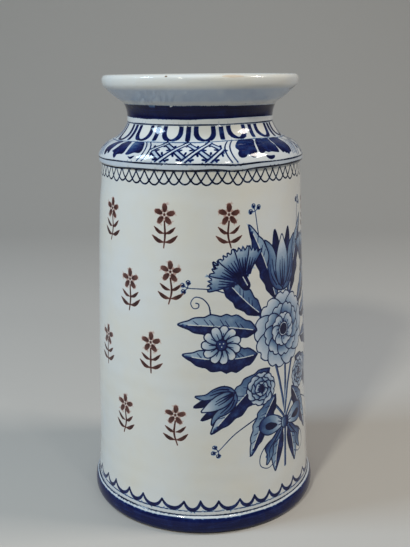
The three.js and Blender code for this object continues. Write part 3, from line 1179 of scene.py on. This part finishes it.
def lattice_panel(left, right):
    """Crossing strips with four dabs round each crossing, between two pairs of bowed lines."""
    steps = round((right - left - 3.2) / 13.1)
    pitch = (right - left - 3.2) / steps

    def strip(middle, lean):
        """One strip from edge to edge through a crossing: a pale wash between two dark lines."""
        run = []
        for share in np.linspace(0.03, 0.99, 15):
            degrees = middle + lean * (share - LATTICE_MIDDLE) * pitch / (LATTICE_TOP - LATTICE_FOOT)
            bow_out = 9 * (share - 0.5) ** 2
            if left - bow_out < degrees < right + bow_out:
                run.append(on_slope(degrees, share))
        if len(run) < 3:
            return
        run = np.array(run)
        along = np.gradient(run, axis=0)
        side = np.column_stack([-along[:, 1], along[:, 0]]) / np.hypot(*along.T)[:, None]
        half = 1.4 if lean < 0 else 1.15
        shoulder_painting.scratch(run, 2 * half + 0.6)
        shoulder_painting.stroke(run, 2 * half - 0.4, 0.2 if lean < 0 else 0.1)
        for offset in (-half, half):
            shoulder_painting.stroke(run + side * offset, [1.0, 1.2, 1.0], [1.0, 0.94, 1.0])

    middles = left + 1.5 + pitch * np.arange(-1, steps + 2) + hand.uniform(-0.3, 0.3)
    for lean in (-1, 1):
        for middle in middles:
            strip(middle, lean)
    dabs = []
    for middle in middles[1:-1]:
        dabs += [(middle - 3.7, LATTICE_MIDDLE, -1, 0), (middle + 3.7, LATTICE_MIDDLE, 1, 0)]
        dabs += [(middle, 0.74, 0, 1), (middle, 0.325, 0, -1)]
    for middle in middles[1:-2] + pitch / 2:
        dabs += [(middle - 3.5, LATTICE_FOOT, -1, 0), (middle + 3.5, LATTICE_FOOT, 1, 0)]
        dabs += [(middle, 0.39, 0, 1), (middle, 0.76, 0, -1)]
    for degrees, share, x, y in dabs:
        if left + 0.8 < degrees < right - 0.4:
            brush = Brush(shoulder_painting, on_slope(degrees + hand.uniform(-0.3, 0.3), share))
            tilt = hand.uniform(-0.4, 0.4)
            dab = np.array([(x - tilt * y, y + tilt * x)])
            brush.stroke(dab * np.array([[-0.9], [0.0], [0.7]]), [1.0, 1.45, 1.3], 1.0)
    for side, border in ((-1, left), (1, right)):
        for offset in (0.0, 2.9):
            curve = []
            for share in np.linspace(0.99, 0.08, 7):
                curve.append(on_slope(border + side * (15 * (share - 0.5) ** 2 + offset), share))
            shoulder_painting.stroke(curve, [0.75, 0.95, 0.8], [0.85, 1.0, 0.8])


# Each leaf hangs from the ridge: degrees from its left edge, and its share of the slope
LEAF_SHAPES = {
    "double": [
        (4.6, 0.97), (1.2, 0.78), (0.0, 0.59), (1.2, 0.48), (0.1, 0.37), (0.6, 0.25), (2.3, 0.19),
        (4.3, 0.22), (5.5, 0.3), (6.5, 0.29), (7.0, 0.22), (8.6, 0.17), (10.5, 0.22), (12.0, 0.38),
        (12.5, 0.55), (14.0, 0.74), (15.6, 0.88), (15.4, 0.97), (10.3, 0.98),
    ],
    "wide": [
        (5.3, 0.98), (2.6, 0.8), (0.8, 0.57), (0.0, 0.38), (1.0, 0.29), (2.8, 0.3), (4.4, 0.34),
        (6.0, 0.3), (8.3, 0.33), (11.2, 0.28), (14.1, 0.26), (14.8, 0.36), (15.0, 0.5), (15.4, 0.7),
        (16.2, 0.9), (15.6, 0.98), (10.6, 0.98),
    ],
    "long": [
        (2.6, 0.98), (0.9, 0.75), (0.0, 0.53), (0.5, 0.39), (1.9, 0.25), (3.2, 0.26), (4.8, 0.2),
        (5.8, 0.22), (7.0, 0.15), (9.0, 0.22), (10.9, 0.23), (11.9, 0.34), (12.6, 0.52), (12.6, 0.98),
    ],
    "wavy": [
        (0.0, 0.97), (1.2, 0.64), (1.3, 0.44), (0.9, 0.3), (2.6, 0.26), (4.6, 0.31), (7.0, 0.38),
        (9.5, 0.36), (11.1, 0.4), (11.5, 0.53), (10.6, 0.7), (7.8, 0.97), (3.3, 0.98),
    ],
    "pointed": [
        (9.2, 0.97), (11.4, 0.69), (12.0, 0.44), (11.1, 0.3), (8.6, 0.28), (6.5, 0.23), (5.8, 0.13),
        (4.3, 0.12), (2.8, 0.22), (2.4, 0.31), (0.0, 0.37), (0.3, 0.41), (1.7, 0.5), (2.8, 0.64),
        (2.8, 0.87), (5.2, 0.97),
    ],
    "pronged": [
        (10.8, 0.97), (9.2, 0.76), (8.7, 0.57), (7.6, 0.42), (7.2, 0.27), (5.8, 0.26), (4.4, 0.38),
        (3.8, 0.24), (2.5, 0.17), (0.8, 0.26), (0.0, 0.42), (0.5, 0.6), (2.6, 0.79), (5.2, 0.97),
    ],
}
CRESCENTS = {
    "wide": [(3.3, 0.22), (4.0, 0.12), (6.3, 0.07), (8.8, 0.1), (9.5, 0.19), (6.2, 0.2)],
    "wavy": [(3.4, 0.22), (5.2, 0.13), (6.7, 0.14), (7.6, 0.2), (8.4, 0.26), (6.6, 0.22), (5.1, 0.21)],
}


def hanging_leaf(kind, start, flip=False):
    """One dark leaf, with the dark crescent that some have under them."""
    width = max(degrees for degrees, _ in LEAF_SHAPES[kind])

    def placed(shape):
        across = [width - degrees if flip else degrees for degrees, _ in shape]
        shares = [share + hand.uniform(-0.012, 0.012) for _, share in shape]
        return [on_slope(start + x, share) for x, share in zip(across, shares)]

    pale = kind == "wavy"
    towards = (0.3 if pale else hand.uniform(-0.1, 0.1), -0.14)
    shoulder_painting.wash(placed(LEAF_SHAPES[kind]), 0.72 if pale else 0.82, deeper=towards)
    if kind in CRESCENTS:
        shoulder_painting.wash(placed(CRESCENTS[kind]), 0.9)


def hatching(start, side):
    """Thin grey strokes that lean down towards the leaf beside them."""
    for number in range(4):
        line = [(3.2, 0.78), (2.2, 0.48), (0.2, 0.16)]
        line = [on_slope(start + side * (x + 2.0 * number), share) for x, share in line]
        shoulder_painting.stroke(line, [0.6, 1.1, 0.7], 0.6)


def egg_and_bar(degrees, next_degrees):
    """One egg of the hollow, a thick curve open at the top, and the bar at its right."""
    middle = math.radians(degrees)
    low = float(shoulder.way_at(ridge_line(middle))) + 1.75
    high = float(shoulder.way_at(neck_line(middle)))
    brush = Brush(shoulder_painting, (middle * shoulder.mean_radius, hollow_top - 6.5))
    low, high = low - brush.spot[1] + hand.uniform(-0.2, 0.2), high - brush.spot[1]
    lean = hand.uniform(-0.7, 0.7)
    inside = [(-4.4, high - 0.4), (-4.2, low + 4.6), (lean, low + 1.0), (4.2, low + 4.6), (4.4, high - 0.4)]
    shoulder_painting.lift(brush.lay(inside), edged=True)
    brush.stroke(
        [
            (-5.4, high),
            (-5.6, low + 7.6),
            (-5.2, low + 4.3),
            (-3.3 + 0.5 * lean, low + 1.3),
            (lean, low),
            (3.3 + 0.5 * lean, low + 1.3),
            (5.2, low + 4.3),
            (5.6, low + 7.6),
            (5.4, high),
        ],
        [2.9, 3.1, 3.2, 3.0, 1.5, 3.0, 3.2, 3.0, 2.8],
        [1.0, 0.86, 0.94, 0.84, 1.0, 0.92, 0.84, 0.94, 1.0],
    )
    bar_angle = math.radians((degrees + next_degrees) / 2)
    foot_way = float(shoulder.way_at(ridge_line(bar_angle))) + 2.2 - brush.spot[1]
    bar = Brush(shoulder_painting, (bar_angle * shoulder.mean_radius, brush.spot[1]))
    lean = hand.uniform(-0.3, 0.3)
    bar.stroke([(lean, high), (0, 0.5 * high), (-lean, foot_way)], [3.0, 3.1, 2.9], [1.0, 0.85, 0.97])


# Both bands are tinted a little by the cobalt that washed off the strokes
shoulder_painting.tint(0.09)
edge_strip = (float(shoulder.way_at(BODY_TOP + 0.6)), float(shoulder.way_at(BODY_TOP + EDGE_HEIGHT)))
shoulder_painting.tint(0.03, *edge_strip)
for left, right in ((-29.1, 13.2), (71.0, 113.3), (161.3, 190.6), (238.6, 280.9)):
    lattice_panel(left, right)
for leaf_kind, start, flip in (
    ("double", 19.6, False),
    ("wide", 32.8, False),
    ("long", 48.4, False),
    ("wavy", 118.8, False),
    ("long", 130.9, True),
    ("pointed", 144.3, True),
    ("double", 196.6, True),
    ("pronged", 210.6, False),
    ("wide", 218.2, True),
    ("pronged", -67.4, False),
    ("pointed", -57.5, False),
    ("wavy", -45.1, False),
):
    hanging_leaf(leaf_kind, start, flip)
hatching(60.4, 1)
hatching(-68.4, -1)
EGGS = [-43.0, -19.7, 2.9, 26.1, 50.0, *(50.0 + 22.25 * number for number in range(1, 12))]
for degrees, next_degrees in zip(EGGS, [*EGGS[1:], EGGS[0] + 360]):
    egg_and_bar(degrees, next_degrees)
line_round(shoulder_painting, ridge_line, 0.75, 0.62, seed=23, pigment="cobalt")
line_round(shoulder_painting, edge_line, 1.0, 1.0, seed=24)
line_round(shoulder_painting, neck_line, 0.85, 0.9, seed=25)
line_round(shoulder_painting, under_edge_line, UNDER_EDGE_WIDTH, 1.0, seed=21)
shoulder_piece = turned_piece("shoulder_painted", "shoulder", shoulder_painting, bake_rows=4)
shoulder_piece.data.materials.append(tin_glaze("shoulder_painted_glaze", shoulder_painting))


# Neck collar
# A short collar that draws in to a waist, brushed dark blue on the wheel above a white band.

NECK_TOP_RADIUS = 52.0
RIM_FOOT = NECK_FOOT + 12.4
WAIST_RADIUS = 49.8
WAIST_HEIGHT = 4.0
neck_top = (NECK_TOP_RADIUS, RIM_FOOT)
waist = (WAIST_RADIUS, NECK_FOOT + WAIST_HEIGHT)
neck = TurnedFace(
    [neck_foot, waist, *bow(waist, (WAIST_RADIUS, (waist[1] + RIM_FOOT) / 2), neck_top)],
    [*rebate(*neck_top), (WAIST_RADIUS - WALL, waist[1]), *tongue(*neck_foot)],
)
neck_painting = Painting(neck)
navy_foot = by_hand(
    (-68, 272.9), (-45, 272.5), (-20, 272.7), (-5, 272.4), (5, 273.0), (14, 272.8), (25, 273.3),
    (35, 273.4), (51, 273.3), (74, 272.9),
)
navy_top = by_hand((-67, 281.1), (-42, 281.3), (-12, 281.0), (29, 280.9), (47, 280.6), (70, 280.3))
drip = unsteady(32, 0.15, 8, 15, 21)
neck_painting.tint(0.07)
neck_painting.band(
    lambda angle: neck.way_at(navy_foot(angle)) + drip(angle),
    lambda angle: neck.way_at(navy_top(angle)) + drip(angle),
    1.0,
)
neck_painting.scratch([neck_painting.spot(-21.4, 280.6), neck_painting.spot(-20.0, 281.0)], 0.8)
for degrees in EGGS:
    for arm in (-5.4, 5.4):
        arm_angle = math.radians(degrees) + arm / NECK_FOOT_RADIUS
        across = arm_angle * neck.mean_radius
        top = float(neck.way_at(neck_line(arm_angle))) - 1.4
        neck_painting.stroke([(across, -2.0), (across, top - 0.1), (across, top)], 2.8, 1.0)
line_round(neck_painting, neck_line, 0.85, 0.9, seed=25)
neck_collar = turned_piece("neck_collar_glazed", "neck_collar", neck_painting, bake_rows=4)
neck_collar.data.materials.append(tin_glaze("neck_cobalt_glaze", neck_painting, brush_streaks=0.16))


# Flared rim
# The mouth: a slightly hollow flare that ends in a thick rounded lip, white inside and out, with painted
# shade under the flare. The lip has an ochre stain, a pit in the glaze and a small chip from use.

FLARE_RADIUS = 65.4
FLARE_HEIGHT = 11.3
FLARE_HOLLOW = 0.7
LIP_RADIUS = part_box("flared_rim")[1].x / MM
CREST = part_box("flared_rim")[1].z / MM
LIP_BELLY = 4.3
LIP_THICKNESS = 6.6
lip_foot = (FLARE_RADIUS, RIM_FOOT + FLARE_HEIGHT)
belly = (LIP_RADIUS, lip_foot[1] + LIP_BELLY)
crown = (LIP_RADIUS - LIP_THICKNESS / 2, CREST)
lip_inside = (LIP_RADIUS - LIP_THICKNESS, belly[1])
inner_rim_foot = (NECK_TOP_RADIUS - WALL, RIM_FOOT)
rim_front = [
    neck_top,
    *bow(neck_top, beside(neck_top, lip_foot, FLARE_HOLLOW, -FLARE_HOLLOW), lip_foot),
    *bow(lip_foot, (LIP_RADIUS, lip_foot[1] + LIP_BELLY / 2), belly),
    *bow(belly, (LIP_RADIUS, CREST), crown),
]
rim = TurnedFace(
    [
        *rim_front,
        *bow(crown, (lip_inside[0], CREST), lip_inside),
        *bow(lip_inside, beside(lip_inside, inner_rim_foot, FLARE_HOLLOW, -FLARE_HOLLOW), inner_rim_foot),
    ],
    tongue(*neck_top),
)
rim_painting = Painting(rim)
front_heights = np.array(rim_front, float)[:, 1]


def on_rim(degrees, height):
    """A place on the rim's outer side."""
    way = np.interp(height, front_heights, rim.ways[: len(front_heights)])
    return (math.radians(degrees) * rim.mean_radius, float(way))


# Under the flare a thin blue-grey band: mostly painted shade under the overhang, and partly the glaze's own
# greyer tone in the hollow
rim_painting.tint(0.14, on_rim(0, RIM_FOOT)[1] + 3.0, on_rim(0, lip_foot[1])[1] - 1.0, soft=2.4)
stain = [(11.0, 298.7), (15.5, 299.6), (20.5, 299.4), (24.0, 298.6), (17.0, 298.0)]
rim_painting.wash([on_rim(*place) for place in stain], 0.32, "ochre")
rim_painting.stroke([on_rim(-18.4, 299.0), on_rim(-17.8, 299.0)], 0.8, 0.6, "wear")
chip = [on_rim(67.2, 290.2), on_rim(71.0, 291.2), on_rim(74.5, 292.3)]
rim_painting.stroke(chip, [0.5, 1.5, 0.7], 1.0, "wear")
flared_rim = turned_piece("flared_rim_glazed", "flared_rim", rim_painting, bake_rows=3)
flared_rim.data.materials.append(tin_glaze("rim_white_glaze", rim_painting))


# Studio
# A plain pale floor that sweeps up behind the jar, a cool window to the left and a warm one to the
# right, two small lamps in front, and the camera where the photograph was taken.

FOCAL_PIXELS = 766.3
PHOTO_SIZE = (410, 547)
SENSOR = 36.0
EYE = Vector((0.0, -0.5354, 0.3023))
PITCH = math.radians(14.85)
YAW = 0.0041
ROLL = -0.0079
ahead = Vector((math.sin(YAW) * math.cos(PITCH), math.cos(YAW) * math.cos(PITCH), -math.sin(PITCH)))
level_right = Vector((math.cos(YAW), -math.sin(YAW), 0.0))
level_up = level_right.cross(ahead)
right = level_right * math.cos(ROLL) + level_up * math.sin(ROLL)
upward = level_up * math.cos(ROLL) - level_right * math.sin(ROLL)
camera_data = bpy.data.cameras.new("camera")
camera_data.sensor_width = SENSOR
camera_data.lens = FOCAL_PIXELS * SENSOR / max(PHOTO_SIZE)
camera_data.clip_start = 0.01
camera = bpy.data.objects.new("camera", camera_data)
camera.matrix_world = Matrix.Translation(EYE) @ Matrix((right, upward, -ahead)).transposed().to_4x4()
bpy.context.scene.collection.objects.link(camera)
bpy.context.scene.camera = camera


def lamp(name, azimuth, elevation, distance, size, power, colour):
    """A square soft lamp that faces the jar from an angle round it and above the floor."""
    turn, rise = math.radians(azimuth), math.radians(elevation)
    away = Vector((math.sin(turn) * math.cos(rise), -math.cos(turn) * math.cos(rise), math.sin(rise)))
    data = bpy.data.lights.new(name, "AREA")
    data.size = size
    data.energy = power
    data.color = colour
    light = bpy.data.objects.new(name, data)
    light.location = Vector((0, 0, 0.15)) + away * distance
    light.rotation_euler = away.to_track_quat("Z", "Y").to_euler()
    bpy.context.scene.collection.objects.link(light)


lamp("window_left", -80, 46, 1.6, 0.4, 14.0, (0.6, 0.8, 1.0))
lamp("window_right", 86, 48, 1.6, 0.35, 12.5, (1.0, 0.92, 0.84))
lamp("front_left", -26, 40, 1.7, 0.15, 13.0, (1.0, 0.97, 0.84))
lamp("front_right", 32, 40, 1.7, 0.15, 1.8, (1.0, 0.96, 0.9))

bpy.context.scene.view_settings.view_transform = "Standard"
world = bpy.data.worlds.new("soft_room")
world.use_nodes = True
world.node_tree.nodes["Background"].inputs["Color"].default_value = (0.97, 1.0, 1.0, 1.0)
world.node_tree.nodes["Background"].inputs["Strength"].default_value = 0.2
bpy.context.scene.world = world

FLOOR_SIDE = 3.0
SWEEP_START = 0.9
SWEEP_RADIUS = 0.8
floor_line = [(-FLOOR_SIDE, 0.0), (SWEEP_START, 0.0)]
for turn in np.radians(np.linspace(5, 90, 18)):
    floor_line.append((SWEEP_START + SWEEP_RADIUS * math.sin(turn), SWEEP_RADIUS * (1 - math.cos(turn))))
floor_line.append((SWEEP_START + SWEEP_RADIUS, FLOOR_SIDE))
floor_mesh = bpy.data.meshes.new("floor")
floor_mesh.from_pydata(
    [(side * FLOOR_SIDE, y, z) for y, z in floor_line for side in (-1, 1)],
    [],
    [(2 * k, 2 * k + 1, 2 * k + 3, 2 * k + 2) for k in range(len(floor_line) - 1)],
)
floor_mesh.shade_smooth()
floor = bpy.data.objects.new("floor", floor_mesh)
bpy.context.scene.collection.objects.link(floor)
paper = Finish("floor_paper", 0.75)
paper.set("Base Color", srgb(172, 170, 167))
floor_mesh.materials.append(paper.material)
